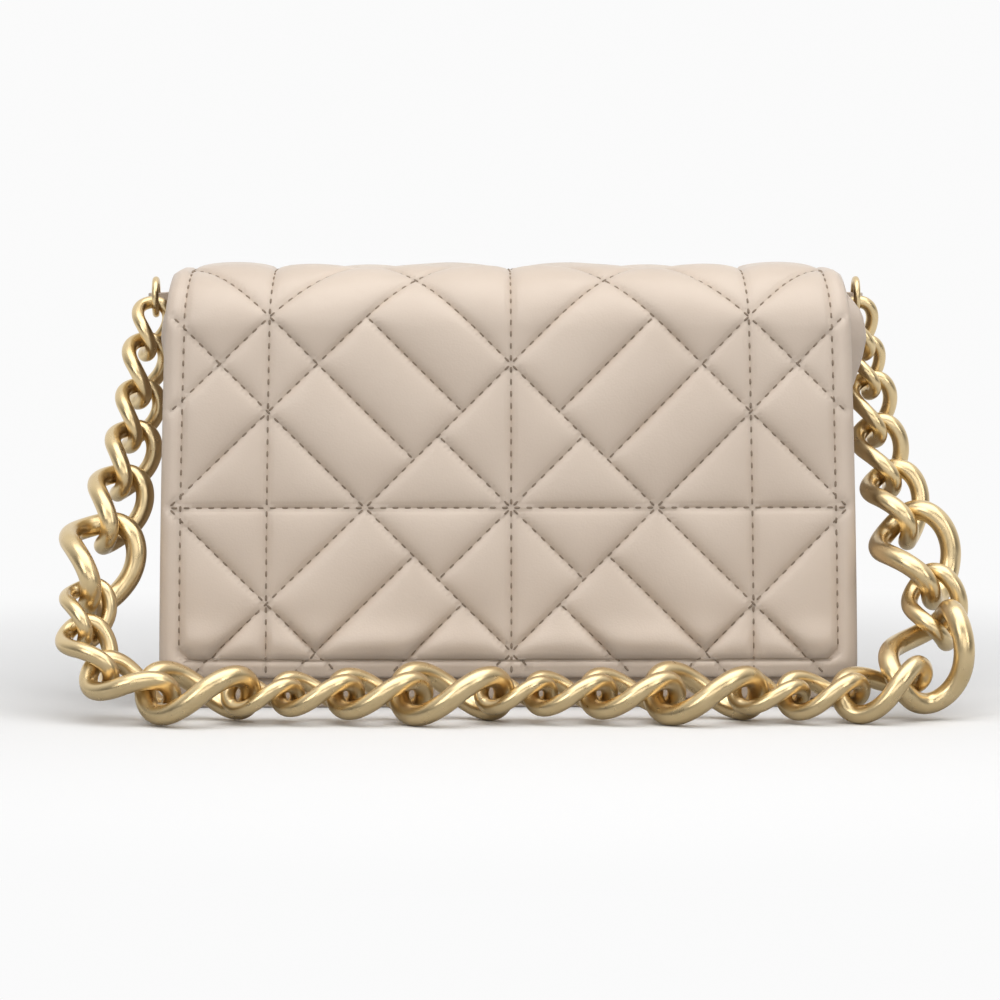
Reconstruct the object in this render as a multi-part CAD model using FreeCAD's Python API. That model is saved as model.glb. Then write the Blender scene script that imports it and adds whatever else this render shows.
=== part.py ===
import FreeCAD, Part
import math
import os

# Chain shoulder bag: soft quilted flap bag with a graduated curb chain strap.
# Millimetres, +X to the viewer's right, -Y to the front, +Z up, origin under the middle of the base.

# Leather body, outside sizes at the floor and at the mouth
base_width = 230.0
base_depth = 70.0
mouth_narrowing = 5.0
mouth_depth = 44.0
body_height = 143.5
panel_leather = 1.4
panel_wadding = 2.2
gusset_leather = 1.8
gusset_inset = 4.0
base_leather = 2.4
base_board_thickness = 2.0
board_clearance = 0.5
lining_thickness = 0.8
lining_clearance = 0.2

# Flap: leather, wadding and lining, folded over the mouth and down the front
flap_top_overhang = 3.0
flap_hem_overhang = 4.0
flap_hem_height = 13.0
flap_leather = 1.2
flap_wadding = 3.0
flap_lining = 0.8
flap_top_clearance = 0.5
flap_front_clearance = 1.2
flap_bend_radius = 22.0
flap_bend_steps = 6
flap_split_step = 3

# Quilting of the flap front: a net of stitch lines, counted in units from its middle, and its swellings
net_unit = 16.33
net_edge_count = 7.167
net_side_count = 6.75
net_top_count = 3.65
net_bottom_count = 3.17
net_middle_rise = 55.6
puff_height = 2.6
puff_full_span = 32.0
quilt_quarter = [
    [(0, 0), (0, 3), (1.5, 1.5)],
    [(0, 0), (1.5, 1.5), (3, 0)],
    [(0, 3), (2, 5), (3, 4), (1, 2)],
    [(1, 2), (3, 4), (4, 3), (2, 1)],
    [(2, 1), (4, 3), (5, 2), (3, 0)],
    [(3, 0), (5, 2), (5, 0)],
    [(5, 0), (5, 2), (7, 0)],
    [(4, 3), (5, 4), (5, 2)],
    [(5, 2), (5, 4), (6, 3)],
    [(5, 2), (6, 3), (7, 2), (7, 0)],
    [(6, 3), (7, 4), (7, 2)],
]

# Hidden magnets of the flap
magnet_radius = 8.0
magnet_thickness = 1.8
magnet_height = 42.0
magnet_clearance = 0.2

# Rings for the chain, each in a tab that is sewn into a rear side seam
ring_wire = 2.4
ring_mean_radius = 6.0
ring_drop = 5.0
ring_clearance = 3.5
tab_width = 6.0
tab_sewn_length = 9.0
tab_loop_clearance = 0.35

# Chain links, five sizes: centreline half lengths and half widths, and wire diameters
link_half_lengths = {"tiny": 9.7, "small": 11.45, "middle": 13.05, "broad": 14.8, "large": 17.4}
link_half_widths = {"tiny": 6.6, "small": 7.9, "middle": 8.5, "broad": 9.7, "large": 12.6}
link_wires = {"tiny": 4.4, "small": 5.1, "middle": 5.7, "broad": 6.3, "large": 7.1}
link_twist = 60.0
link_oval_exponent = 2.2
link_span_share = 0.94
link_stations = 8
link_hook_clearance = 0.6
link_floor_clearance = 0.05
link_gap_wanted = 0.75
end_links = ("tiny", "small", "small", "middle", "broad")
repeat_links = ("large", "small", "middle", "broad")
repeat_count = 4
far_end_links = ("large", "middle", "large", "broad", "middle", "small", "tiny", "tiny")

# Route of the chain: down from each ring, forward past the bag's side, and along the floor in front
knee_out = 12.3
knee_forward = 17.0
knee_height_share = 0.65
knee_radius = 90.0
corner_out = 28.0
corner_radius = 25.0
run_gap = 21.0
drop_link_count = 9
ease_turn = 5.0
ease_shift = 0.5
ease_sweeps = 20
ease_least_share = 0.01

Vector = FreeCAD.Vector
across = Vector(1, 0, 0)
upward = Vector(0, 0, 1)
half_share = 0.5
mouth_width = base_width - mouth_narrowing
os.makedirs("parts", exist_ok=True)


def export(shape, node):
    shape.exportStep("parts/" + node + ".step")


# Solid inside flat faces, each given by its corners
def flat_sided(faces):
    shell = Part.Shell([Part.Face(Part.makePolygon(points + points[:1])) for points in faces])
    solid = Part.Solid(shell)
    if solid.Volume < 0:
        solid.reverse()
    return solid


# Solid between two quadrilaterals with matching corners
def block(lower, upper):
    faces = [lower, upper]
    for corner in range(4):
        following = (corner + 1) % 4
        faces.append([lower[corner], lower[following], upper[following], upper[corner]])
    return flat_sided(faces)


# Rectangle at one height, from its low and high corners
def level(low_x, high_x, low_y, high_y, height):
    return [Vector(low_x, low_y, height), Vector(high_x, low_y, height),
            Vector(high_x, high_y, height), Vector(low_x, high_y, height)]


# Outside half width and half depth of the body at a height
def body_half_width(height):
    return (base_width + (mouth_width - base_width) * height / body_height) * half_share


def body_half_depth(height):
    return (base_depth + (mouth_depth - base_depth) * height / body_height) * half_share


# Section of a front or back layer at one height: side is -1 in front and 1 behind
def panel_section(side, outer_inset, inner_inset, side_inset, height):
    reach = body_half_width(height) - side_inset
    outer = side * (body_half_depth(height) - outer_inset)
    inner = side * (body_half_depth(height) - inner_inset)
    return level(-reach, reach, min(outer, inner), max(outer, inner), height)


def panel_layer(side, outer_inset, inner_inset, side_inset):
    lower = panel_section(side, outer_inset, inner_inset, side_inset, base_leather)
    upper = panel_section(side, outer_inset, inner_inset, side_inset, body_height)
    return block(lower, upper)


wall_inset = panel_leather + panel_wadding
gusset_inner_inset = gusset_inset + gusset_leather

# Unit vectors of the sloping front: up its face, and straight out of it
front_lean = math.atan((base_depth - mouth_depth) * half_share / body_height)
front_normal = Vector(0, -math.cos(front_lean), math.sin(front_lean))
front_upward = Vector(0, math.sin(front_lean), math.cos(front_lean))

flap_thickness = flap_leather + flap_wadding + flap_lining
flap_top_height = body_height + flap_top_clearance + flap_thickness


# Outside of the flap front at a height, and a layer's depth inside it
def flap_front_depth(height, layer):
    return -body_half_depth(height) - flap_front_clearance - flap_thickness + layer


# The flap's front bend: a point of it at a layer's depth, after a number of its steps
flap_bend_turn = math.pi / 2 - front_lean
flap_bend_setback = flap_bend_radius * math.tan(flap_bend_turn * half_share)
flap_bend_middle = Vector(0, flap_front_depth(flap_top_height, 0) + flap_bend_setback,
                          flap_top_height - flap_bend_radius)


def flap_bend_point(layer, step):
    angle = front_lean + flap_bend_turn * step / flap_bend_steps
    reach = flap_bend_radius - layer
    return flap_bend_middle + Vector(0, -reach * math.cos(angle), reach * math.sin(angle))


# The walls are cut lower in front, to follow the bend from inside
bend_room_depth = flap_thickness + flap_top_clearance
bend_room_edge = [flap_bend_point(bend_room_depth, step) for step in range(flap_bend_steps + 1)]
bend_room_far = bend_room_edge[0] - Vector(0, base_depth, 0)
bend_room_corners = bend_room_edge + [bend_room_edge[-1] + upward * body_height,
                                      bend_room_far + upward * body_height, bend_room_far]
bend_room_face = Part.Face(Part.makePolygon([corner - across * base_width
                                             for corner in bend_room_corners + bend_room_corners[:1]]))
bend_room = bend_room_face.extrude(across * (base_width * 2))

base_panel = block(
    level(-base_width / 2, base_width / 2, -base_depth / 2, base_depth / 2, 0),
    level(-body_half_width(base_leather), body_half_width(base_leather),
          -body_half_depth(base_leather), body_half_depth(base_leather), base_leather))
export(base_panel, "base_panel")
export(panel_layer(-1, 0, panel_leather, 0).cut(bend_room), "front_panel")
export(panel_layer(1, 0, panel_leather, 0), "back_panel")

# The gussets sit inside the panels' side edges, so the seams turn outward
def gusset(side):
    sections = []
    for height in (base_leather, body_height):
        outer = side * (body_half_width(height) - gusset_inset)
        inner = side * (body_half_width(height) - gusset_inner_inset)
        reach = body_half_depth(height) - wall_inset
        sections.append(level(min(outer, inner), max(outer, inner), -reach, reach, height))
    return block(*sections)


export(gusset(-1).cut(bend_room), "left_gusset")
export(gusset(1).cut(bend_room), "right_gusset")

# Magnet disc centred on a point, its axis square to the front
def magnet(centre, radius, thickness):
    start = centre - front_normal * (thickness * half_share)
    return Part.makeCylinder(radius, thickness, start, front_normal)


# Wadding inside the panels stops at the gussets; the front one has a pocket for its magnet
wadding_side_inset = gusset_inner_inset + tab_sewn_length
front_wadding_middle = Vector(0, -body_half_depth(magnet_height) + panel_leather + panel_wadding / 2,
                              magnet_height)
panel_magnet = magnet(front_wadding_middle, magnet_radius, magnet_thickness)
panel_pocket = magnet(front_wadding_middle, magnet_radius + magnet_clearance, panel_wadding * 2)
front_wadding = panel_layer(-1, panel_leather, wall_inset, wadding_side_inset)
export(front_wadding.cut(panel_pocket).cut(bend_room), "front_wadding")
export(panel_layer(1, panel_leather, wall_inset, wadding_side_inset), "back_wadding")
export(panel_magnet, "panel_magnet")

# Stiff board on the base, then the lining, one open tub
def inner_level(inset, height):
    reach_x = body_half_width(height) - gusset_inner_inset - inset
    reach_y = body_half_depth(height) - wall_inset - inset
    return level(-reach_x, reach_x, -reach_y, reach_y, height)


board_top = base_leather + base_board_thickness
export(block(inner_level(board_clearance, base_leather), inner_level(board_clearance, board_top)), "base_board")
lining_floor = board_top + lining_clearance
lining_inner_inset = lining_clearance + lining_thickness
lining_outside = block(inner_level(lining_clearance, lining_floor), inner_level(lining_clearance, body_height))
lining_inside = block(inner_level(lining_inner_inset, lining_floor + lining_thickness),
                      inner_level(lining_inner_inset, body_height))
export(lining_outside.cut(lining_inside).cut(bend_room), "lining")

# Flap: every layer runs over the top and down the front, parted in the middle of the front bend
flap_top_width = mouth_width + flap_top_overhang * 2
flap_hem_width = base_width + flap_hem_overhang * 2
flap_hinge_depth = mouth_depth / 2


def flap_half_width(height):
    fall_share = (flap_top_height - height) / (flap_top_height - flap_hem_height)
    return (flap_top_width + (flap_hem_width - flap_top_width) * fall_share) * half_share


# Solid between an outer and an inner line in the side view, as wide as the flap
def flap_strips(outside, inside):
    strips = []
    for first in range(len(outside) - 1):
        section = [outside[first], outside[first + 1], inside[first + 1], inside[first]]
        left = [point - across * flap_half_width(point.z) for point in section]
        right = [point + across * flap_half_width(point.z) for point in section]
        strips.append(block(left, right))
    return strips[0].fuse(strips[1:]).removeSplitter()


def flap_top_line(layer):
    bend = [flap_bend_point(layer, step) for step in range(flap_split_step, flap_bend_steps + 1)]
    return bend + [Vector(0, flap_hinge_depth, flap_top_height - layer)]


def flap_front_line(layer):
    hem = Vector(0, flap_front_depth(flap_hem_height, layer), flap_hem_height)
    return [hem] + [flap_bend_point(layer, step) for step in range(flap_split_step + 1)]


def flap_top_layer(outer, inner):
    return flap_strips(flap_top_line(outer), flap_top_line(inner))


def flap_front_layer(outer, inner):
    return flap_strips(flap_front_line(outer), flap_front_line(inner))


# The part of a quilt cell where one of its two counts is at most a limit
def clipped(cell, count, limit):
    kept = []
    for point, following in zip(cell, cell[1:] + cell[:1]):
        if point[count] <= limit:
            kept.append(point)
        if (point[count] - limit) * (following[count] - limit) < 0:
            share = (limit - point[count]) / (following[count] - point[count])
            kept.append(tuple(here + (there - here) * share for here, there in zip(point, following)))
    return kept


# A place on the flap front's outside, by counts of net units across and up from the net's middle
def flap_face_point(count_across, count_up):
    rise = net_middle_rise + count_up * net_unit
    hem = Vector(0, flap_front_depth(flap_hem_height, 0), flap_hem_height)
    point = hem + front_upward * rise
    return point + across * (flap_half_width(point.z) * count_across / net_edge_count)


# One swelling of the quilting: a low pyramid over its cell, lower over a small cell
def puff(cell):
    base = [flap_face_point(*point) for point in cell]
    span = math.sqrt(Part.Face(Part.makePolygon(base + base[:1])).Area)
    middle = sum(base, Vector()) / len(base)
    top = middle + front_normal * (puff_height * min(span / puff_full_span, 1))
    sides = [[here, there, top] for here, there in zip(base, base[1:] + base[:1])]
    return flat_sided([base] + sides)


puffs = []
for quarter_cell in quilt_quarter:
    side_cell = clipped(quarter_cell, 0, net_side_count)
    upper_cell = clipped(side_cell, 1, net_top_count)
    lower_cell = [(x, -y) for x, y in clipped(side_cell, 1, net_bottom_count)]
    for cell in (upper_cell, lower_cell):
        puffs.append(puff(cell))
        puffs.append(puff([(-x, y) for x, y in cell]))

wadding_depth = flap_leather + flap_wadding
flap_magnet_middle = Vector(0, flap_front_depth(magnet_height, flap_leather + flap_wadding / 2), magnet_height)
flap_pocket = magnet(flap_magnet_middle, magnet_radius + magnet_clearance, flap_wadding * 2)
export(flap_top_layer(0, flap_leather), "flap_top_leather")
export(flap_top_layer(flap_leather, wadding_depth), "flap_top_wadding")
export(flap_top_layer(wadding_depth, flap_thickness), "flap_top_lining")
export(flap_front_layer(0, flap_leather).fuse(puffs).removeSplitter(), "flap_front_leather")
export(flap_front_layer(flap_leather, wadding_depth).cut(flap_pocket), "flap_front_wadding")
export(flap_front_layer(wadding_depth, flap_thickness), "flap_front_lining")
export(magnet(flap_magnet_middle, magnet_radius, magnet_thickness), "flap_magnet")

# Ring and tab: the tab's tail lies in the rear seam, its loop holds the back of the ring
ring_height = body_height - ring_drop
tab_layer = panel_wadding / 2
tab_half_width = tab_width * half_share
ring_sag = ring_mean_radius - math.sqrt(ring_mean_radius ** 2 - tab_half_width ** 2)
loop_inner_radius = (ring_wire + ring_sag) * half_share + tab_loop_clearance
loop_outer_radius = loop_inner_radius + tab_layer
loop_depth = body_half_depth(ring_height) - panel_leather - tab_layer
ring_depth = loop_depth - ring_mean_radius + ring_sag * half_share
ring_reach = flap_half_width(ring_height) + ring_clearance + loop_outer_radius


def ring(side):
    return Part.makeTorus(ring_mean_radius, ring_wire / 2, Vector(side * ring_reach, ring_depth, ring_height), across)


def ring_tab(side):
    sections = []
    for height in (ring_height - tab_half_width, ring_height + tab_half_width):
        seam = side * (body_half_width(height) - gusset_inset - tab_sewn_length)
        outer = body_half_depth(height) - panel_leather
        inner = outer - tab_layer * 2
        loop = side * ring_reach
        sections.append(level(min(seam, loop), max(seam, loop), inner, outer, height))
    foot = Vector(side * ring_reach, loop_depth, ring_height - tab_half_width)
    loop_outside = Part.makeCylinder(loop_outer_radius, tab_width, foot)
    loop_inside = Part.makeCylinder(loop_inner_radius, tab_width, foot)
    return block(*sections).fuse(loop_outside).cut(loop_inside)


export(ring(-1), "left_ring")
export(ring(1), "right_ring")
export(ring_tab(-1), "left_ring_tab")
export(ring_tab(1), "right_ring_tab")

# Chain route: straight stretches joined by arcs, and a point and direction at any length along it
chain = list(end_links) + list(repeat_links) * repeat_count + list(far_end_links)


class Route:
    def __init__(self, corners, radii):
        self.stretches = []
        start = corners[0]
        for index in range(1, len(corners) - 1):
            here = corners[index]
            into = (here - corners[index - 1]).normalize()
            out = (corners[index + 1] - here).normalize()
            turn = into.getAngle(out)
            radius = radii[index - 1]
            setback = radius * math.tan(turn / 2)
            arc_start = here - into * setback
            axis = into.cross(out).normalize()
            self.add_line(start, arc_start)
            self.stretches.append((radius * turn, arc_start, into, axis, radius))
            start = here + out * setback
        self.add_line(start, corners[-1])
        self.length = sum(stretch[0] for stretch in self.stretches)

    def add_line(self, start, end):
        direction = end - start
        self.stretches.append((direction.Length, start, direction.normalize(), None, 0))

    def at(self, distance):
        for stretch in self.stretches:
            length, start, heading, axis, radius = stretch
            if distance <= length or stretch is self.stretches[-1]:
                break
            distance -= length
        if axis is None:
            return start + heading * distance, heading
        angle = distance / radius
        inward = axis.cross(heading)
        point = start + heading * (radius * math.sin(angle)) + inward * (radius * (1 - math.cos(angle)))
        return point, heading * math.cos(angle) + inward * math.sin(angle)

    def end_of(self, count):
        return sum(stretch[0] for stretch in self.stretches[:count])


# Centreline of a link in its own frame: an oval along the chain, twisted end to end
def link_point(size, angle):
    along = math.copysign(abs(math.cos(angle)) ** (2 / link_oval_exponent), math.cos(angle))
    aside = math.copysign(abs(math.sin(angle)) ** (2 / link_oval_exponent), math.sin(angle))
    twist = -math.radians(link_twist) * along
    width = link_half_widths[size] * aside
    return Vector(link_half_lengths[size] * along, width * math.cos(twist), width * math.sin(twist))


sample_count = 48
sample_angles = [2 * math.pi * sample / sample_count for sample in range(sample_count)]
ovals = {size: [link_point(size, angle) for angle in sample_angles] for size in link_wires}

# The links meet at joints along the route, from hook to hook
link_spans = [(link_half_lengths[size] * 2 - link_wires[size]) * link_span_share for size in chain]
joint_places = [link_half_lengths[chain[0]] - link_spans[0] / 2]
for span in link_spans:
    joint_places.append(joint_places[-1] + span)
chain_length = joint_places[-1] + link_half_lengths[chain[-1]] - link_spans[-1] / 2

# The run lies on its large links, in front of the flap's hem
run_height = max(point.z for point in ovals["large"]) + link_wires["large"] / 2 + link_floor_clearance
run_half_width = link_half_widths["large"] + link_wires["large"] / 2
run_depth = flap_front_depth(flap_hem_height, 0) - run_gap - run_half_width


def chain_route(right_corner):
    corners = []
    for side, corner in ((-1, flap_hem_width / 2 + corner_out), (1, right_corner)):
        eye = Vector(side * ring_reach, ring_depth, ring_height)
        knee_reach = flap_half_width(ring_height * knee_height_share) + knee_out
        knee = Vector(side * knee_reach, ring_depth - knee_forward, ring_height * knee_height_share)
        pull = (knee - eye).normalize()
        wire = link_wires[chain[0]]
        hook = eye + pull * (ring_mean_radius - (ring_wire + wire) / 2 - link_hook_clearance)
        corners.append([hook, knee, Vector(side * corner, run_depth, run_height)])
    left, right = corners
    return Route(left + right[::-1], [knee_radius, corner_radius, corner_radius, knee_radius])


# The right corner lies where the chain's length puts it
nearest = ring_reach
farthest = ring_reach + chain_length
halvings = 60
for step in range(halvings):
    middle = (nearest + farthest) / 2
    if chain_route(middle).length < chain_length:
        nearest = middle
    else:
        farthest = middle
route = chain_route(nearest)
print("chain length %.1f, right corner %.1f, run height %.1f" % (chain_length, nearest, run_height))

joints = [route.at(place)[0] for place in joint_places]
centres = [(before + after) * half_share for before, after in zip(joints, joints[1:])]
headings = [(after - before).normalize() for before, after in zip(joints, joints[1:])]

# Facing of the links: the run lies flat, and each drop carries that facing up to its ring
def square_to(direction, heading):
    return (direction - heading * direction.dot(heading)).normalize()


link_count = len(chain)
run_middle = link_count // 2
facings = {run_middle: upward}
for number in range(run_middle + 1, link_count):
    facings[number] = square_to(facings[number - 1], headings[number])
for number in range(run_middle - 1, -1, -1):
    facings[number] = square_to(facings[number + 1], headings[number])


# Facing of an end link that stands square to its ring
def hook_facing(heading, side):
    aside = square_to(across, heading)
    angle = math.radians(link_twist)
    return heading.cross(aside) * math.cos(angle) - aside * (math.sin(angle) * side)


def turned(direction, axis, degrees):
    return FreeCAD.Rotation(axis, degrees).multVec(direction)


# Each drop rolls evenly, link by link, until its end link stands square
for side, end in ((-1, 0), (1, link_count - 1)):
    wanted = hook_facing(headings[end], side)
    roll = math.atan2(facings[end].cross(wanted).dot(headings[end]), facings[end].dot(wanted))
    roll = (roll + math.pi / 2) % math.pi - math.pi / 2
    for step in range(drop_link_count):
        number = end - side * step
        share = 1 - step / drop_link_count
        facings[number] = turned(facings[number], headings[number], math.degrees(roll) * share)

frames = [(centres[number], headings[number], facings[number]) for number in range(link_count)]


def placed(size, frame):
    centre, heading, facing = frame
    aside = facing.cross(heading)
    return [centre + heading * point.x + aside * point.y + facing * point.z for point in ovals[size]]


centrelines = [placed(size, frame) for size, frame in zip(chain, frames)]


# Narrowest gap from a link to its neighbours on both sides
def least_gap(number, points):
    gaps = []
    for other in range(max(number - 2, 0), min(number + 3, link_count)):
        if other != number:
            nearest_points = min(point.distanceToPoint(there) for point in points for there in centrelines[other])
            gaps.append(nearest_points - (link_wires[chain[number]] + link_wires[chain[other]]) / 2)
    return min(gaps)


def lowest(size, points):
    return min(point.z for point in points) - link_wires[size] / 2


# Small moves of a link: a turn about each of its directions, or a shift along it
def nudged(frame, share):
    centre, heading, facing = frame
    for axis in (heading, facing.cross(heading), facing):
        for sense in (share, -share):
            degrees = ease_turn * sense
            yield centre, turned(heading, axis, degrees), turned(facing, axis, degrees)
            yield centre + axis * (ease_shift * sense), heading, facing


# The links are eased apart, each the way that widens its narrowest gap, until all have room
for sweep in range(ease_sweeps):
    for number in range(1, link_count - 1):
        size = chain[number]
        best_gap = least_gap(number, centrelines[number])
        if best_gap >= link_gap_wanted:
            continue
        for frame in nudged(frames[number], 1 - sweep / ease_sweeps):
            points = placed(size, frame)
            if lowest(size, points) < link_floor_clearance * half_share:
                continue
            gap = least_gap(number, points)
            if gap > best_gap + ease_shift * ease_least_share:
                best_gap = gap
                frames[number] = frame
                centrelines[number] = points


# Direction of a link's centreline at an angle round it
def link_direction(size, angle):
    nudge = math.pi / sample_count / sample_count
    return (link_point(size, angle + nudge) - link_point(size, angle - nudge)).normalize()


# Solid bent wire from a start point and direction to an end point, on one arc
def bent_wire(start, direction, end, radius):
    chord = end - start
    axis = direction.cross(chord).normalize()
    turn = 2 * direction.getAngle(chord)
    bend = chord.Length / (2 * math.sin(turn / 2))
    disc = Part.Face(Part.Wire(Part.makeCircle(radius, start, direction)))
    return disc.revolve(start + axis.cross(direction) * bend, axis, math.degrees(turn))


# Two arcs that leave and reach two points in given directions
def paired_arcs(start, leaving, end, reaching, radius):
    chord = end - start
    both = leaving + reaching
    spread = 2 * (1 - leaving.dot(reaching))
    reach = (math.sqrt(chord.dot(both) ** 2 + spread * chord.dot(chord)) - chord.dot(both)) / spread
    joint = (start + leaving * reach + end - reaching * reach) * half_share
    middle = (end - reaching * reach - start - leaving * reach).normalize()
    return [bent_wire(start, leaving, joint, radius), bent_wire(joint, middle, end, radius)]


def link_solid(size):
    angles = [2 * math.pi * (station + half_share) / link_stations for station in range(link_stations + 1)]
    pieces = []
    for first, second in zip(angles, angles[1:]):
        pieces += paired_arcs(link_point(size, first), link_direction(size, first),
                              link_point(size, second), link_direction(size, second), link_wires[size] / 2)
    return pieces[0].multiFuse(pieces[1:])


# One link of each size is made, and copies of it are set in place
links = {size: link_solid(size) for size in link_wires}
for number, (size, frame) in enumerate(zip(chain, frames)):
    centre, heading, facing = frame
    aside = facing.cross(heading)
    columns = FreeCAD.Matrix(heading.x, aside.x, facing.x, centre.x, heading.y, aside.y, facing.y, centre.y,
                             heading.z, aside.z, facing.z, centre.z, 0, 0, 0, 1)
    link = links[size].copy()
    link.Placement = FreeCAD.Placement(columns)
    export(link, "chain_link_%02d" % (number + 1))
    print("link %02d %-6s centre %.4f %.4f %.4f heading %.5f %.5f %.5f lowest %.2f gap %.2f" % (
        number + 1, size, *centre, *heading, lowest(size, centrelines[number]), least_gap(number, centrelines[number])))
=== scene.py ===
import math

import bmesh
import bpy
import numpy as np
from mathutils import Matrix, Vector


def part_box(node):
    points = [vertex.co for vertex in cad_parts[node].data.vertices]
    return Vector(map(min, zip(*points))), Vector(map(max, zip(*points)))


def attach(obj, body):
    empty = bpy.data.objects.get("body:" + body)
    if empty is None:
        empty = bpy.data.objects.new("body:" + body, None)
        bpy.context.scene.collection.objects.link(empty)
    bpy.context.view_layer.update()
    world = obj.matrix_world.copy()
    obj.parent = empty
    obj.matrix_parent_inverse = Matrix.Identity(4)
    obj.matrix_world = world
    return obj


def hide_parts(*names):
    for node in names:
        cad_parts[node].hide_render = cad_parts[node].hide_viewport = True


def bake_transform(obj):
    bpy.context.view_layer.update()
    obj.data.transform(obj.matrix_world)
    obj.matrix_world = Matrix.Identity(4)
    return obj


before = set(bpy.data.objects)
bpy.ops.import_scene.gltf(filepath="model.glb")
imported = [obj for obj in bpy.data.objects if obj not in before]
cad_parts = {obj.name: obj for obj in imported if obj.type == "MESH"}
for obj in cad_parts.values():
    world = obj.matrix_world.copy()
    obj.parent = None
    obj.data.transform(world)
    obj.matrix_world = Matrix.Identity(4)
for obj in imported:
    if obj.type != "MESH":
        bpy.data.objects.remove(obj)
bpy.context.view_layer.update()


# Studio. The bag stands on a pale seamless floor that runs into a white background. One wide
# soft box hangs overhead, and three stand at the front: left, middle and, weakest, at the right.
bpy.context.scene.view_settings.view_transform = "Standard"

camera_target = Vector((-0.0024, 0.0, 0.0683))
camera_distance = 1.544
camera_elevation = math.radians(4.42)
camera_side_angle = math.radians(0.87)
camera_aim = Vector((math.sin(camera_side_angle) * math.cos(camera_elevation),
                     math.cos(camera_side_angle) * math.cos(camera_elevation),
                     -math.sin(camera_elevation)))
bpy.ops.object.select_all(action="DESELECT")
bpy.ops.object.camera_add(location=camera_target - camera_aim * camera_distance,
                          rotation=camera_aim.to_track_quat("-Z", "Y").to_euler())
camera = bpy.context.active_object
camera.data.sensor_width = 36.0
camera.data.lens = 159.8
bpy.context.scene.camera = camera


def soft_box(name, place, aim, width, height, power):
    turn = (Vector(aim) - Vector(place)).to_track_quat("-Z", "Y").to_euler()
    bpy.ops.object.light_add(type="AREA", location=place, rotation=turn)
    lamp = bpy.context.active_object
    lamp.name = name
    lamp.data.shape = "RECTANGLE"
    lamp.data.size = width
    lamp.data.size_y = height
    lamp.data.energy = power


bag_middle = (0.0, 0.0, 0.06)
soft_box("overhead_box", (0.1, -0.40, 1.10), (0.0, -0.02, 0.05), 1.6, 1.2, 12.0)
soft_box("front_box", (0.15, -1.95, 0.62), bag_middle, 1.5, 0.8, 7.0)
soft_box("front_left_box", (-1.1, -1.5, 0.95), bag_middle, 0.9, 0.9, 9.0)
soft_box("front_right_box", (1.25, -1.3, 0.75), bag_middle, 0.6, 0.8, 5.0)


def new_material(name):
    material = bpy.data.materials.new(name)
    material.use_nodes = True
    nodes = material.node_tree.nodes
    return material, nodes, material.node_tree.links, nodes["Principled BSDF"]


def two_tone(nodes, deep, pale):
    """A mix of two colours."""
    mix = nodes.new("ShaderNodeMix")
    mix.data_type = "RGBA"
    mix.inputs[6].default_value = (*deep, 1.0)
    mix.inputs[7].default_value = (*pale, 1.0)
    return mix


def value_range(nodes, lowest, highest, from_low=0.0, from_high=1.0):
    """A range that a value is spread over."""
    spreading = nodes.new("ShaderNodeMapRange")
    spreading.inputs["From Min"].default_value = from_low
    spreading.inputs["From Max"].default_value = from_high
    spreading.inputs["To Min"].default_value = lowest
    spreading.inputs["To Max"].default_value = highest
    return spreading


backdrop_white = (0.962, 0.962, 0.962, 1.0)
world = bpy.data.worlds.new("studio")
bpy.context.scene.world = world
world.use_nodes = True
nodes = world.node_tree.nodes
links = world.node_tree.links
nodes.clear()
room_direction = nodes.new("ShaderNodeTexCoord")
room_split = nodes.new("ShaderNodeSeparateXYZ")
room_sum = nodes.new("ShaderNodeMath")
room_fade = value_range(nodes, 0.0, 1.0, from_low=-0.3, from_high=0.9)
room_colour = two_tone(nodes, (0.02, 0.019, 0.018), (1.0, 1.0, 1.0))
room_strength = value_range(nodes, 0.45, 1.0)
seen_or_mirrored = nodes.new("ShaderNodeLightPath")
room_light = nodes.new("ShaderNodeBackground")
white_wall = nodes.new("ShaderNodeBackground")
white_wall.inputs["Color"].default_value = backdrop_white
wall_or_room = nodes.new("ShaderNodeMixShader")
world_out = nodes.new("ShaderNodeOutputWorld")
links.new(room_direction.outputs["Generated"], room_split.inputs[0])
links.new(room_split.outputs["Y"], room_sum.inputs[0])
links.new(room_split.outputs["Z"], room_sum.inputs[1])
links.new(room_sum.outputs[0], room_fade.inputs["Value"])
links.new(room_fade.outputs["Result"], room_colour.inputs["Factor"])
links.new(room_colour.outputs[2], room_light.inputs["Color"])
links.new(seen_or_mirrored.outputs["Is Glossy Ray"], room_strength.inputs["Value"])
links.new(room_strength.outputs["Result"], room_light.inputs["Strength"])
links.new(seen_or_mirrored.outputs["Is Camera Ray"], wall_or_room.inputs["Fac"])
links.new(room_light.outputs[0], wall_or_room.inputs[1])
links.new(white_wall.outputs[0], wall_or_room.inputs[2])
links.new(wall_or_room.outputs[0], world_out.inputs["Surface"])

bpy.ops.object.select_all(action="DESELECT")
bpy.ops.mesh.primitive_plane_add(size=14.0)
floor = bpy.context.active_object
floor.name = "studio_floor"
floor_paper, nodes, links, paper = new_material("floor_paper")
paper.inputs["Roughness"].default_value = 0.9
paper.inputs["Specular IOR Level"].default_value = 0.1
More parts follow.
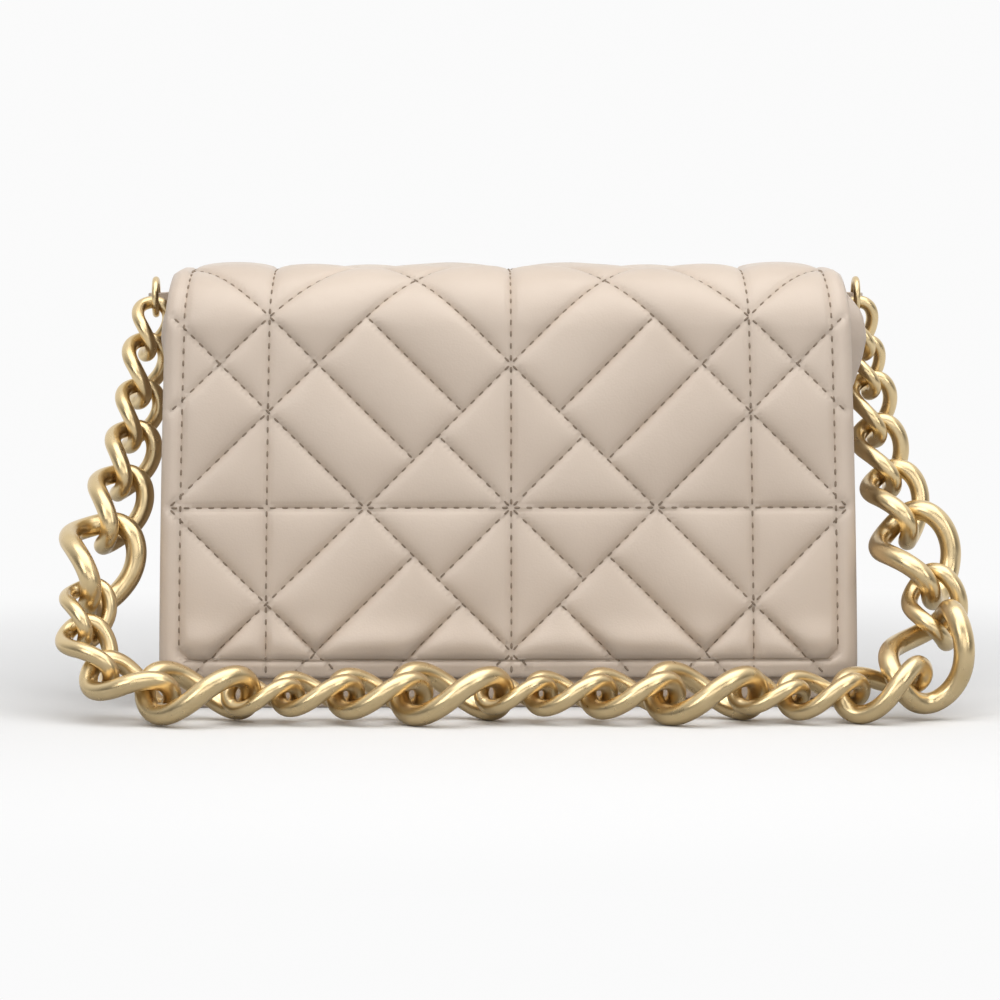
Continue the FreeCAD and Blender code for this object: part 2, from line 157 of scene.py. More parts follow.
# The floor's colour depends on the ray: pale to the camera, darker in reflections and darkest in
# bounced light. The darker floor is painted shade for the shadow under the chain and bag, seen
# mirrored in the gold and on the undersides.
floor_mirror_share = 0.4
floor_place = nodes.new("ShaderNodeTexCoord")
floor_reach = nodes.new("ShaderNodeVectorMath")
floor_reach.operation = "LENGTH"
floor_fade = value_range(nodes, 0.0, 1.0, from_low=0.16, from_high=0.42)
floor_fade.interpolation_type = "SMOOTHSTEP"
floor_seen = nodes.new("ShaderNodeLightPath")
floor_mirrored = nodes.new("ShaderNodeMath")
floor_mirrored.operation = "MAXIMUM"
floor_near = nodes.new("ShaderNodeMath")
floor_near.operation = "MULTIPLY_ADD"
floor_near.inputs[1].default_value = floor_mirror_share
floor_pale = value_range(nodes, 0.32, 0.84)
floor_share = nodes.new("ShaderNodeMath")
floor_share.operation = "MULTIPLY"
floor_white = nodes.new("ShaderNodeEmission")
floor_white.inputs["Color"].default_value = backdrop_white
floor_mix = nodes.new("ShaderNodeMixShader")
links.new(floor_place.outputs["Object"], floor_reach.inputs[0])
links.new(floor_reach.outputs["Value"], floor_fade.inputs["Value"])
links.new(floor_fade.outputs["Result"], floor_share.inputs[0])
links.new(floor_seen.outputs["Is Camera Ray"], floor_mirrored.inputs[0])
links.new(floor_seen.outputs["Is Glossy Ray"], floor_mirrored.inputs[1])
links.new(floor_mirrored.outputs[0], floor_share.inputs[1])
links.new(floor_seen.outputs["Is Glossy Ray"], floor_near.inputs[0])
links.new(floor_seen.outputs["Is Camera Ray"], floor_near.inputs[2])
links.new(floor_near.outputs[0], floor_pale.inputs["Value"])
links.new(floor_pale.outputs["Result"], paper.inputs["Base Color"])
links.new(floor_share.outputs[0], floor_mix.inputs["Fac"])
links.new(paper.outputs[0], floor_mix.inputs[1])
links.new(floor_white.outputs[0], floor_mix.inputs[2])
links.new(floor_mix.outputs[0], nodes["Material Output"].inputs["Surface"])
floor.data.materials.append(floor_paper)


# Leather for all the sewn parts: smooth beige nappa with a fine pebble grain, puckered a little
# where it is drawn into a seam and darker in colour there, painted shade for the valleys.
# The grain is one node group that every leather shares.
grain = bpy.data.node_groups.new("hide_grain", "ShaderNodeTree")
for socket in ("Tone", "Height", "Roughness"):
    grain.interface.new_socket(socket, in_out="OUTPUT", socket_type="NodeSocketFloat")
grain.interface.new_socket("Grain Size", in_out="INPUT", socket_type="NodeSocketFloat")
nodes = grain.nodes
links = grain.links
grain_in = nodes.new("NodeGroupInput")
grain_out = nodes.new("NodeGroupOutput")
grain_place = nodes.new("ShaderNodeTexCoord")
pebbles = nodes.new("ShaderNodeTexVoronoi")
pebbles.feature = "SMOOTH_F1"
pebbles.inputs["Smoothness"].default_value = 0.6
creases = nodes.new("ShaderNodeTexNoise")
creases.inputs["Detail"].default_value = 5.0
crease_scale = nodes.new("ShaderNodeMath")
crease_scale.operation = "MULTIPLY"
crease_scale.inputs[1].default_value = 0.35
clouds = nodes.new("ShaderNodeTexNoise")
clouds.inputs["Scale"].default_value = 28.0
clouds.inputs["Detail"].default_value = 3.0
tone_range = value_range(nodes, 0.0, 1.0, from_low=0.3, from_high=0.7)
height_sum = nodes.new("ShaderNodeMath")
height_sum.operation = "MULTIPLY_ADD"
height_sum.inputs[1].default_value = 0.8
rough_range = value_range(nodes, 0.38, 0.50, from_low=0.25, from_high=0.75)
for texture in (pebbles, creases, clouds):
    links.new(grain_place.outputs["Object"], texture.inputs["Vector"])
links.new(grain_in.outputs["Grain Size"], pebbles.inputs["Scale"])
links.new(grain_in.outputs["Grain Size"], crease_scale.inputs[0])
links.new(crease_scale.outputs[0], creases.inputs["Scale"])
links.new(clouds.outputs["Fac"], tone_range.inputs["Value"])
links.new(pebbles.outputs["Distance"], height_sum.inputs[0])
links.new(creases.outputs["Fac"], height_sum.inputs[2])
links.new(creases.outputs["Fac"], rough_range.inputs["Value"])
links.new(tone_range.outputs["Result"], grain_out.inputs["Tone"])
links.new(height_sum.outputs[0], grain_out.inputs["Height"])
links.new(rough_range.outputs["Result"], grain_out.inputs["Roughness"])

grain_size = 1500.0
grain_depth = 0.00012


def leather(name, pale, deep, painted_valley_shade):
    material, nodes, links, surface = new_material(name)
    surface.inputs["Specular IOR Level"].default_value = 0.65
    surface.inputs["Sheen Weight"].default_value = 0.2
    surface.inputs["Sheen Roughness"].default_value = 0.4
    hide = nodes.new("ShaderNodeGroup")
    hide.node_tree = grain
    hide.inputs["Grain Size"].default_value = grain_size
    body = two_tone(nodes, deep, pale)
    # Read per point: the share of painted shade near the stitch lines, which also scales the pucker
    # bump.
    valley_shade_and_puckers = nodes.new("ShaderNodeAttribute")
    valley_shade_and_puckers.attribute_name = "valley_shade_and_puckers"
    valley_shaded = two_tone(nodes, deep, painted_valley_shade)
    bump = nodes.new("ShaderNodeBump")
    bump.inputs["Strength"].default_value = 0.35
    bump.inputs["Distance"].default_value = grain_depth
    pucker_place = nodes.new("ShaderNodeTexCoord")
    puckers = nodes.new("ShaderNodeTexNoise")
    puckers.inputs["Scale"].default_value = 170.0
    puckers.inputs["Detail"].default_value = 1.0
    pulled = nodes.new("ShaderNodeMath")
    pulled.operation = "MULTIPLY"
    drawn = nodes.new("ShaderNodeBump")
    drawn.inputs["Strength"].default_value = 0.6
    drawn.inputs["Distance"].default_value = 0.0035
    links.new(hide.outputs["Tone"], body.inputs["Factor"])
    links.new(body.outputs[2], valley_shaded.inputs[6])
    links.new(valley_shade_and_puckers.outputs["Fac"], valley_shaded.inputs["Factor"])
    links.new(valley_shaded.outputs[2], surface.inputs["Base Color"])
    links.new(hide.outputs["Roughness"], surface.inputs["Roughness"])
    links.new(hide.outputs["Height"], bump.inputs["Height"])
    links.new(pucker_place.outputs["Object"], puckers.inputs["Vector"])
    links.new(puckers.outputs["Fac"], pulled.inputs[0])
    links.new(valley_shade_and_puckers.outputs["Fac"], pulled.inputs[1])
    links.new(pulled.outputs[0], drawn.inputs["Height"])
    links.new(drawn.outputs["Normal"], bump.inputs["Normal"])
    links.new(bump.outputs["Normal"], surface.inputs["Normal"])
    return material


# The third colour is painted shade for the valleys between the puffs and for the hem's crease.
quilt_leather = leather("quilt_leather", pale=(0.655, 0.545, 0.448), deep=(0.605, 0.497, 0.404),
                        painted_valley_shade=(0.43, 0.335, 0.255))
body_leather = leather("body_leather", pale=(0.62, 0.515, 0.425), deep=(0.57, 0.468, 0.382),
                       painted_valley_shade=(0.42, 0.33, 0.25))


# Base. One stiff leather-covered bottom, its edges turned up and rolled a little.
# It lies flat on the floor under the four walls.
def wear(piece, material):
    piece.data.materials.clear()
    piece.data.materials.append(material)


def start_from(name):
    piece = bpy.context.active_object
    piece.name = name
    piece.data.name = name
    bpy.ops.object.transform_apply(location=True, rotation=True, scale=True)
    return piece


def make_active(piece):
    bpy.ops.object.select_all(action="DESELECT")
    piece.select_set(True)
    bpy.context.view_layer.objects.active = piece


def finish_with(piece, kind, **settings):
    make_active(piece)
    modifier = piece.modifiers.new(kind.lower(), kind)
    for name, value in settings.items():
        setattr(modifier, name, value)
    bpy.ops.object.modifier_apply(modifier=modifier.name)


def round_rims(piece, width):
    finish_with(piece, "BEVEL", width=width, segments=2, limit_method="ANGLE",
                angle_limit=math.radians(50.0))


def smooth(piece, degrees):
    make_active(piece)
    bpy.ops.object.shade_smooth_by_angle(angle=math.radians(degrees))


base_low, base_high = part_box("base_panel")
base_size = base_high - base_low
bpy.ops.object.select_all(action="DESELECT")
bpy.ops.mesh.primitive_cube_add(size=1.0, location=(base_low + base_high) / 2, scale=base_size)
base = start_from("base_leather")
finish_with(base, "BEVEL", width=0.0011, segments=4)
smooth(base, 40.0)
wear(base, body_leather)
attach(base, "bag")
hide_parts("base_panel")


# Quilting. Leather, wadding and backing are stitched through along a net of straight lines, so
# the leather swells between them. A soap film held down at the stitch lines gives each swelling.
net_cells = 12
net_unit = 0.01633
net_cell = net_unit / net_cells
film_steps = 1600
film_in_channel = 36.0
# Painted shade near the stitch lines: how fast it fades as the leather swells, and its strength.
valley_shade_falloff = 9.0
valley_shade_share = 0.3


def leather_grid(name, first_column, last_column, first_row, last_row):
    bpy.ops.object.select_all(action="DESELECT")
    bpy.ops.mesh.primitive_grid_add(x_subdivisions=last_column - first_column,
                                    y_subdivisions=last_row - first_row, size=2.0)
    piece = start_from(name)
    places = np.zeros(len(piece.data.vertices) * 3)
    piece.data.vertices.foreach_get("co", places)
    places = places.reshape(-1, 3)
    columns = np.rint((places[:, 0] + 1) / 2 * (last_column - first_column)).astype(int)
    rows = np.rint((places[:, 1] + 1) / 2 * (last_row - first_row)).astype(int)
    return piece, columns + first_column, rows + first_row


def set_points(piece, points, outward):
    piece.data.vertices.foreach_set("co", points.astype(np.float32).ravel())
    piece.data.update()
    facing = sum((face.normal * face.area for face in piece.data.polygons), Vector())
    if facing.dot(Vector(outward)) < 0:
        piece.data.flip_normals()


# Stores per point the share of painted shade near the stitch lines, also the pucker bump's share.
def mark_valley_shade_and_puckers(piece, shares):
    attribute = piece.data.attributes.new("valley_shade_and_puckers", "FLOAT", "POINT")
    attribute.data.foreach_set("value", shares.astype(np.float32))


def fold_along_stitches(piece, held):
    """Splits the quads that a slanting stitch line crosses along that line."""
    mesh = bmesh.new()
    mesh.from_mesh(piece.data)
    mesh.verts.ensure_lookup_table()
    for face in list(mesh.faces):
        a, b, c, d = face.verts
        if held[a.index] and held[c.index] and not (held[b.index] and held[d.index]):
            bmesh.utils.face_split(face, a, c)
        elif held[b.index] and held[d.index] and not (held[a.index] and held[c.index]):
            bmesh.utils.face_split(face, b, d)
    mesh.to_mesh(piece.data)
    mesh.free()


def on_net(columns, rows):
    """True on a stitch line of the net, counted in twelfths of its unit from its middle."""
    x = np.abs(columns)
    y = np.abs(rows)
    y = np.where(y > 84, 168 - y, y)
    rising = x - y
    falling = x + y
    return ((x == 0) | (x == 60) | (y == 0)
            | (falling == 36) | ((rising == 0) & (x <= 18))
            | ((rising == -12) & (x >= 12) & (x <= 36)) | (rising == -36)
            | ((rising == 12) & (x >= 24)) | ((rising == 36) & (x >= 36))
            | (falling == 84) | ((falling == 108) & (rows > 0)))


def swelling(held):
    """Height of a film over the free cells of a grid, 1 in the middle of a wide channel."""
    fixed = np.pad(held, 1, constant_values=True)
    film = np.zeros(fixed.shape)
    for step in range(film_steps):
        beside = np.roll(film, 1, 0) + np.roll(film, -1, 0)
        around = (beside + np.roll(film, 1, 1) + np.roll(film, -1, 1)) / 4
        film = np.where(fixed, 0.0, around + 0.25)
    return np.sqrt(film[1:-1, 1:-1] / film_in_channel)


turned_in_width = 0.0028


def turned_edge(beyond, radius):
    """Where leather past an edge goes: its reach from the edge, its depth behind the front."""
    over = beyond + radius
    turned = np.clip(over / radius, 0, math.pi)
    inside = np.clip(over - math.pi * radius, 0, turned_in_width)
    reach = np.where(over > 0, -radius + radius * np.sin(turned) - inside, beyond)
    return reach, np.where(over > 0, radius * (1 - np.cos(turned)), 0)


def sewn_sheet(across, along, height, half_width, low_end, high_end, corner, edge,
               section, narrowing):
    """Points of a leather sheet that lies on a section, its rim turned round a soft edge."""
    side = np.abs(across) - (half_width - corner)
    end = np.maximum(low_end - along, along - high_end) + corner
    spread = np.hypot(np.maximum(side, 0), np.maximum(end, 0))
    beyond = spread + np.minimum(np.maximum(side, end), 0) - corner
    reach, depth = turned_edge(beyond, edge)
    divisor = np.maximum(spread, 1e-9)
    to_side = np.where(spread > 0, np.maximum(side, 0) / divisor, (side > end) * 1.0)
    to_end = np.where(spread > 0, np.maximum(end, 0) / divisor, (side <= end) * 1.0)
    across = across + np.sign(across) * to_side * (reach - beyond)
    upper = along > (low_end + high_end) / 2
    along = along + np.where(upper, 1, -1) * to_end * (reach - beyond)
    y, z, out_y, out_z = section(along)
    lift = height - depth
    return np.stack([across * narrowing(z), y + out_y * lift, z + out_z * lift], 1)


net_lines = [(0, 0, 0, 7), (5, 0, 5, 7), (0, 0, 7, 0), (3, 0, 0, 3), (0, 0, 1.5, 1.5),
             (1, 2, 3, 4), (0, 3, 4, 7), (2, 1, 7, 6), (3, 0, 7, 4), (7, 0, 0, 7), (2, 7, 7, 2)]
net_outer_line = 9
stitch_pitch = 0.0041
stitch_length = 0.0021
stitch_thickness = 0.00085
stitch_lift = 0.00012
bead_bluntness = 0.6


def stitches_along(start_x, start_y, end_x, end_y):
    """Places of the stitches on one line, as starts and ends in metres across and along."""
    length = math.hypot(end_x - start_x, end_y - start_y)
    count = max(int(round(length / stitch_pitch)), 1)
    middle = (np.arange(count) + 0.5) / count
    half = stitch_length / 2 / length
    steps = np.stack([middle - half, middle + half], 1)
    x = start_x + (end_x - start_x) * steps
    return np.stack([x, start_y + (end_y - start_y) * steps], 2)


def net_stitches(lowest, highest, half_width):
    """Stitches of the whole net, mirrored, between two heights; its outer line is above only."""
    runs = []
    for x0, y0, x1, y1 in net_lines:
        for side in ((1, -1) if x0 or x1 else (1,)):
            copies = [(y0, y1), (14 - y0, 14 - y1)]
            if (y0 or y1) and x0 + y0 < net_outer_line:
                copies.append((-y0, -y1))
            for low, high in copies:
                line = (side * x0, low, side * x1, high)
                runs.append(stitches_along(*(place * net_unit for place in line)))
    runs = np.concatenate(runs)
    middles = runs.mean(1)
    kept = np.abs(middles[:, 0]) < half_width
    kept &= (middles[:, 1] > lowest) & (middles[:, 1] < highest)
    return runs[kept]


def sew(name, starts, ends, outward):
    """One bead of thread, modelled once and copied to every stitch."""
    bpy.ops.object.select_all(action="DESELECT")
    bpy.ops.mesh.primitive_uv_sphere_add(segments=6, ring_count=5, radius=1.0,
                                         rotation=(0.0, math.pi / 2, 0.0))
    bead = start_from(name + "_bead")
    shape = np.array([vertex.co for vertex in bead.data.vertices])
    faces = [list(face.vertices) for face in bead.data.polygons]
    shape[:, 0] = np.sign(shape[:, 0]) * np.abs(shape[:, 0]) ** bead_bluntness
    bpy.data.objects.remove(bead)
    middle = (starts + ends) / 2
    run = ends - starts
    length = np.linalg.norm(run, axis=1, keepdims=True)
    run = run / length
    across = np.cross(outward, run)
    across /= np.linalg.norm(across, axis=1, keepdims=True)
    outward = np.cross(run, across)
    along_run = run[:, None] * shape[None, :, :1] * length[:, None] / 2
    round_run = across[:, None] * shape[None, :, 1:2] + outward[:, None] * shape[None, :, 2:]
    points = middle[:, None] + along_run + round_run * stitch_thickness / 2
    copies = [[corner + len(shape) * number for corner in face]
              for number in range(len(points)) for face in faces]
    mesh = bpy.data.meshes.new(name)
    mesh.from_pydata(points.reshape(-1, 3).tolist(), [], copies)
    piece = bpy.data.objects.new(name, mesh)
    bpy.context.scene.collection.objects.link(piece)
    smooth(piece, 80.0)
    return piece


# Thread. Its dark taupe is painted shade: the real thread is pale, and the dark stands in for the
# needle holes and the small shadows the stitches cast.
thread, nodes, links, yarn = new_material("thread_and_painted_shade")
yarn.inputs["Specular IOR Level"].default_value = 0.25
yarn.inputs["Sheen Weight"].default_value = 0.15
thread_place = nodes.new("ShaderNodeTexCoord")
thread_twist = nodes.new("ShaderNodeTexWave")
thread_twist.inputs["Scale"].default_value = 1100.0
thread_twist.inputs["Distortion"].default_value = 2.0
thread_and_shade_tone = two_tone(nodes, (0.20, 0.15, 0.105), (0.33, 0.26, 0.195))
thread_rough = value_range(nodes, 0.6, 0.8)
links.new(thread_place.outputs["Object"], thread_twist.inputs["Vector"])
links.new(thread_twist.outputs["Fac"], thread_and_shade_tone.inputs["Factor"])
links.new(thread_twist.outputs["Fac"], thread_rough.inputs["Value"])
links.new(thread_and_shade_tone.outputs[2], yarn.inputs["Base Color"])
links.new(thread_rough.outputs["Result"], yarn.inputs["Roughness"])


# Back panel. Quilted like the flap, its side edges turned in towards the gussets.
# Its leather and wadding are sewn to the base below and to the flap's tail above.
body_height = 0.1435
body_base_half_depth = 0.035
body_mouth_half_depth = 0.022
body_base_half_width = 0.115
body_mouth_half_width = 0.1125
body_taper = (body_base_half_depth - body_mouth_half_depth) / body_height
body_lean = math.atan(body_taper)
body_corner = 0.003
back_edge_radius = 0.0013
back_edge_column = 84
back_field_column = 80
back_turned_cells = 5
back_column = body_base_half_width / back_edge_column
back_low = 0.0024
back_length = (body_height - back_low) / math.cos(body_lean)
back_rows_below = 50
back_seam_rows = 3
back_sewn_rows = 47
back_stitch_depth = 0.0009
back_puff = 0.0026


def body_narrowing(z):
    return 1 - (1 - body_mouth_half_width / body_base_half_width) * z / body_height


def back_section(along):
    z = back_low + along * math.cos(body_lean)
    y = body_base_half_depth - body_taper * z - back_stitch_depth
    return y, z, math.cos(body_lean) + 0 * z, math.sin(body_lean) + 0 * z


def back_point(across, along, height):
    return sewn_sheet(across, along, height, body_base_half_width, 0.0, back_length,
                      body_corner, back_edge_radius, back_section, body_narrowing)


back_side = back_edge_column + back_turned_cells
back_top_row = int(back_length / net_cell) - back_rows_below
back_panel, columns, rows = leather_grid("back_quilt", -back_side, back_side,
                                         -back_rows_below - back_turned_cells,
                                         back_top_row + back_turned_cells)
held = on_net(columns, rows) | (np.abs(columns) > back_field_column)
held |= (rows < back_seam_rows - back_rows_below) | (rows > back_top_row - back_seam_rows)
cells = (rows - rows.min(), columns - columns.min())
held_net = np.zeros((cells[0].max() + 1, cells[1].max() + 1), bool)
held_net[cells] = held
rise = swelling(held_net)[cells]
along = (rows + back_rows_below) * net_cell
set_points(back_panel, back_point(columns * back_column, along, back_puff * rise), (0, 1, 0))
# Painted shade in the back panel's valleys, kept off its turned edges.
back_flat = np.abs(columns) < back_edge_column - 2
mark_valley_shade_and_puckers(back_panel, np.exp(-rise * valley_shade_falloff) * valley_shade_share * back_flat)
fold_along_stitches(back_panel, held)
finish_with(back_panel, "SOLIDIFY", thickness=0.0008, offset=-1.0)
smooth(back_panel, 60.0)
wear(back_panel, quilt_leather)
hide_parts("back_panel", "back_wadding")
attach(back_panel, "bag")

back_runs = net_stitches(-back_sewn_rows * net_cell, back_sewn_rows * net_cell,
                         back_field_column * net_cell)
back_ends = [back_point(back_runs[:, end, 0] / net_cell * back_column,
                        back_runs[:, end, 1] + back_rows_below * net_cell, stitch_lift)
             for end in (0, 1)]
back_out = np.tile((0.0, math.cos(body_lean), math.sin(body_lean)), (len(back_runs), 1))
back_stitches = sew("back_stitches", *back_ends, back_out)
wear(back_stitches, thread)
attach(back_stitches, "bag")


# Front panel. Plain soft leather over thin wadding, hidden under the flap down to a finger's
# width above the floor. Its top leans inwards under the rounded front of the flap.
front_lip_middle_y = -0.0076
front_lip_radius = 0.0155
front_lip_start = 0.1262
front_length = (front_lip_start - back_low) / math.cos(body_lean)
front_lip_length = 0.0165
front_edge_radius = 0.0014
front_edge_column = 56
front_edge_row = 70
front_turned_cells = 4
front_turned_below = 3
front_inset = 0.0004


def front_section(along):
    up = np.minimum(along, front_length)
    z = back_low + up * math.cos(body_lean)
    y = -(body_base_half_depth - body_taper * z) + front_inset
    turned = np.clip((along - front_length) / front_lip_radius, 0, None)
    angle = body_lean + turned
    y = y + front_lip_radius * (math.cos(body_lean) - np.cos(angle))
    z = z + front_lip_radius * (np.sin(angle) - math.sin(body_lean))
    return y, z, -np.cos(angle), np.sin(angle)


def behind_front(z, inset, lip_radius):
    """How far forward a layer behind the front panel goes, up its face and under its lip."""
    face_y = -(body_base_half_depth - body_taper * z) + inset
    over = np.maximum(z - front_lip_start, 0)
    lip_y = front_lip_middle_y - np.sqrt(np.maximum(lip_radius ** 2 - over ** 2, 0))
    return np.where(z > front_lip_start, np.maximum(face_y, lip_y), face_y)


front_side = front_edge_column + front_turned_cells
front_panel, columns, rows = leather_grid("front_leather", -front_side, front_side,
                                          -front_turned_below,
                                          front_edge_row + front_turned_cells)
front_across = columns * body_base_half_width / front_edge_column
front_along = rows * (front_length + front_lip_length) / front_edge_row
front_points = sewn_sheet(front_across, front_along, 0 * front_along, body_base_half_width, 0.0,
                          front_length + front_lip_length, body_corner, front_edge_radius,
                          front_section, body_narrowing)
set_points(front_panel, front_points, (0, -1, 0))
finish_with(front_panel, "SOLIDIFY", thickness=0.0009, offset=-1.0)
finish_with(front_panel, "SUBSURF", levels=1, render_levels=1)
smooth(front_panel, 60.0)
wear(front_panel, body_leather)
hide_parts("front_panel", "front_wadding")
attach(front_panel, "bag")


# Gussets. A strip of soft leather up each side between the panels, which folds inwards in the
# middle as the bag closes and stands out a little behind the flap, where the ring tab pulls it.
gusset_inset = 0.004
gusset_top = 0.139
gusset_length = gusset_top - back_low
gusset_fold = 0.010
gusset_pull_rises = (0.58, 0.66, 0.72, 0.78, 0.84, 0.90, 0.96, 1.0)
gusset_pull_shares = (0.0, 0.16, 0.45, 0.78, 0.94, 1.0, 0.97, 0.80)
gusset_pull_middle = -0.5
gusset_pull_width = 0.34
gusset_ears = {-1: 0.0100, 1: 0.0146}
gusset_front_inset = 0.0030
gusset_back_inset = 0.0031
gusset_lip_radius = 0.0125
gusset_ripple = 0.0006
gusset_columns = 18
gusset_rows = 60


def gusset_reach(side, share, z):
    """How far a side's gusset stands out, by the share from front to back and the height."""
    rise = np.clip((z - back_low) / gusset_length, 0, 1)
    fold = gusset_fold * (0.15 + 0.85 * rise ** 1.4) * (1 - np.abs(share)) ** 1.25
    pull = np.interp(rise, gusset_pull_rises, gusset_pull_shares)
    pull = pull * np.exp(-((share - gusset_pull_middle) / gusset_pull_width) ** 2)
    return gusset_ears[side] * pull - fold * (1 - pull)


for side, name in ((-1, "left_gusset"), (1, "right_gusset")):
    gusset, columns, rows = leather_grid(name + "_leather", -gusset_columns, gusset_columns,
                                         0, gusset_rows)
    share = columns / gusset_columns
    z = back_low + gusset_length * rows / gusset_rows
    rise = (z - back_low) / gusset_length
    front_y = behind_front(z, gusset_front_inset, gusset_lip_radius)
    back_y = body_base_half_depth - body_taper * z - gusset_back_inset
    y = front_y + (back_y - front_y) * (share + 1) / 2
    ripple = gusset_ripple * np.sin(rows * 0.55 + columns * 0.35) * (1 - share ** 2) * rise
    seam_x = body_base_half_width * body_narrowing(z) - gusset_inset
    x = seam_x + gusset_reach(side, share, z) + ripple
    set_points(gusset, np.stack([side * x, y, z], 1), (side, 0, 0))
    finish_with(gusset, "SOLIDIFY", thickness=0.0016, offset=-1.0)
    round_rims(gusset, 0.0006)
    smooth(gusset, 50.0)
    wear(gusset, body_leather)
    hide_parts(name)
    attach(gusset, "bag")


# Ring tabs. A narrow strip of the same leather folded round each ring's back and sewn into the
# rear side seam, its two layers pressed flat beyond the loop.
tab_columns = 40
tab_rows = 4
tab_flat_share = 0.35
tab_loop_width = 0.42
tab_press = 0.45

for side, name in ((-1, "left_ring_tab"), (1, "right_ring_tab")):
    tab_low, tab_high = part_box(name)
    tab_middle_z = (tab_low.z + tab_high.z) / 2
    tab_half = (tab_high.z - tab_low.z) / 2
    loop_radius = (tab_high.y - tab_low.y) / 2
    loop_x = (tab_high.x if side > 0 else tab_low.x) - side * loop_radius
    loop_y = (tab_high.y + tab_low.y) / 2
    seam_x = tab_low.x if side > 0 else tab_high.x
    tab, columns, rows = leather_grid(name + "_leather", 0, tab_columns, -tab_rows, tab_rows)
    around = columns / tab_columns
    turn = np.clip((around - tab_flat_share) / (1 - 2 * tab_flat_share), 0, 1) * math.pi
    flat = (np.clip((tab_flat_share - around) / tab_flat_share, 0, 1)
            + np.clip((around - 1 + tab_flat_share) / tab_flat_share, 0, 1))
    half_gap = loop_radius * (1 - tab_press * np.clip(flat * 2.5, 0, 1)) - 0.0001
    x = loop_x + side * loop_radius * np.sin(turn) - side * abs(loop_x - seam_x) * flat
    y = loop_y + half_gap * np.cos(turn)
    width_share = tab_loop_width + (1 - tab_loop_width) * flat
    z = tab_middle_z + tab_half * rows / tab_rows * width_share
    set_points(tab, np.stack([x, y, z], 1), (0, 0, 0))
    outside = sum((face.center - Vector((loop_x, loop_y, face.center.z))).dot(face.normal)
                  for face in tab.data.polygons)
    if outside < 0:
        tab.data.flip_normals()
    finish_with(tab, "SOLIDIFY", thickness=0.0009, offset=-1.0)
    round_rims(tab, 0.0003)
    smooth(tab, 50.0)
    wear(tab, body_leather)
    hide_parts(name)
    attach(tab, "bag")


# Lining. A sewn tub of taupe twill that hangs inside the walls on the base board, its top edge
# stitched to the leather round the mouth.
cloth, nodes, links, twill = new_material("lining_twill")
twill.inputs["Specular IOR Level"].default_value = 0.2
twill.inputs["Sheen Weight"].default_value = 0.25
cloth_place = nodes.new("ShaderNodeTexCoord")
cloth_turn = nodes.new("ShaderNodeMapping")
cloth_turn.inputs["Rotation"].default_value = (0.5, 0.6, 0.785)
cloth_ribs = nodes.new("ShaderNodeTexWave")
cloth_ribs.inputs["Scale"].default_value = 420.0
cloth_ribs.inputs["Distortion"].default_value = 0.6
cloth_clouds = nodes.new("ShaderNodeTexNoise")
cloth_clouds.inputs["Scale"].default_value = 45.0
cloth_tone = two_tone(nodes, (0.42, 0.373, 0.327), (0.50, 0.447, 0.393))
cloth_rough = value_range(nodes, 0.72, 0.9)
cloth_bump = nodes.new("ShaderNodeBump")
cloth_bump.inputs["Strength"].default_value = 0.4
cloth_bump.inputs["Distance"].default_value = 0.0002
links.new(cloth_place.outputs["Object"], cloth_turn.inputs["Vector"])
links.new(cloth_turn.outputs["Vector"], cloth_ribs.inputs["Vector"])
links.new(cloth_place.outputs["Object"], cloth_clouds.inputs["Vector"])
links.new(cloth_clouds.outputs["Fac"], cloth_tone.inputs["Factor"])
links.new(cloth_ribs.outputs["Fac"], cloth_rough.inputs["Value"])
links.new(cloth_ribs.outputs["Fac"], cloth_bump.inputs["Height"])
links.new(cloth_tone.outputs[2], twill.inputs["Base Color"])
links.new(cloth_rough.outputs["Result"], twill.inputs["Roughness"])
links.new(cloth_bump.outputs["Normal"], twill.inputs["Normal"])

lining_low, lining_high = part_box("lining")
lining_floor = lining_low.z + 0.0004
lining_height = 0.1385 - lining_low.z
lining_wall = 0.0006
lining_inset = 0.0046
lining_side_inset = 0.0062
lining_lip_radius = 0.0112
lining_sag = 0.0005
tub_steps = 36
tub_side_steps = 24
tub_end_steps = 12
tub_corners = np.cumsum((0, tub_side_steps, tub_end_steps, tub_side_steps, tub_end_steps))
lining, columns, rows = leather_grid("lining_twill_tub", 0, int(tub_corners[-1]), 0, tub_steps)
rise = rows / tub_steps
across = np.interp(columns, tub_corners, (-1, 1, 1, -1, -1))
end_share = np.interp(columns, tub_corners, (-1, -1, 1, 1, -1))
z = lining_floor + lining_height * rise
front_y = behind_front(z, lining_inset, lining_lip_radius)
back_y = body_base_half_depth - body_taper * z - lining_inset
reach = np.where(across > 0, gusset_reach(1, end_share, z), gusset_reach(-1, end_share, z))
half_x = body_base_half_width * body_narrowing(z) - lining_side_inset
x = across * (half_x + reach * (np.abs(across) == 1))
sag = lining_sag * np.sin(across * 17.0 + rise * 3.0) * np.sin(math.pi * rise)
sag = sag * (np.abs(end_share) == 1)
y = (front_y + back_y) / 2 + (back_y - front_y) / 2 * end_share - sag
set_points(lining, np.stack([x, y, z], 1), (0, 0, 0))
bpy.ops.object.mode_set(mode="EDIT")
bpy.ops.mesh.select_mode(type="VERT")
bpy.ops.mesh.select_all(action="SELECT")
bpy.ops.mesh.remove_doubles(threshold=1e-6)
bpy.ops.mesh.select_all(action="DESELECT")
bpy.ops.object.mode_set(mode="OBJECT")
for vertex in lining.data.vertices:
    vertex.select = vertex.co.z < lining_floor + lining_height / tub_steps / 2
bpy.ops.object.mode_set(mode="EDIT")
bpy.ops.mesh.edge_face_add()
bpy.ops.mesh.select_all(action="SELECT")
bpy.ops.mesh.normals_make_consistent(inside=False)
bpy.ops.object.mode_set(mode="OBJECT")
finish_with(lining, "SOLIDIFY", thickness=lining_wall, offset=-1.0)
smooth(lining, 50.0)
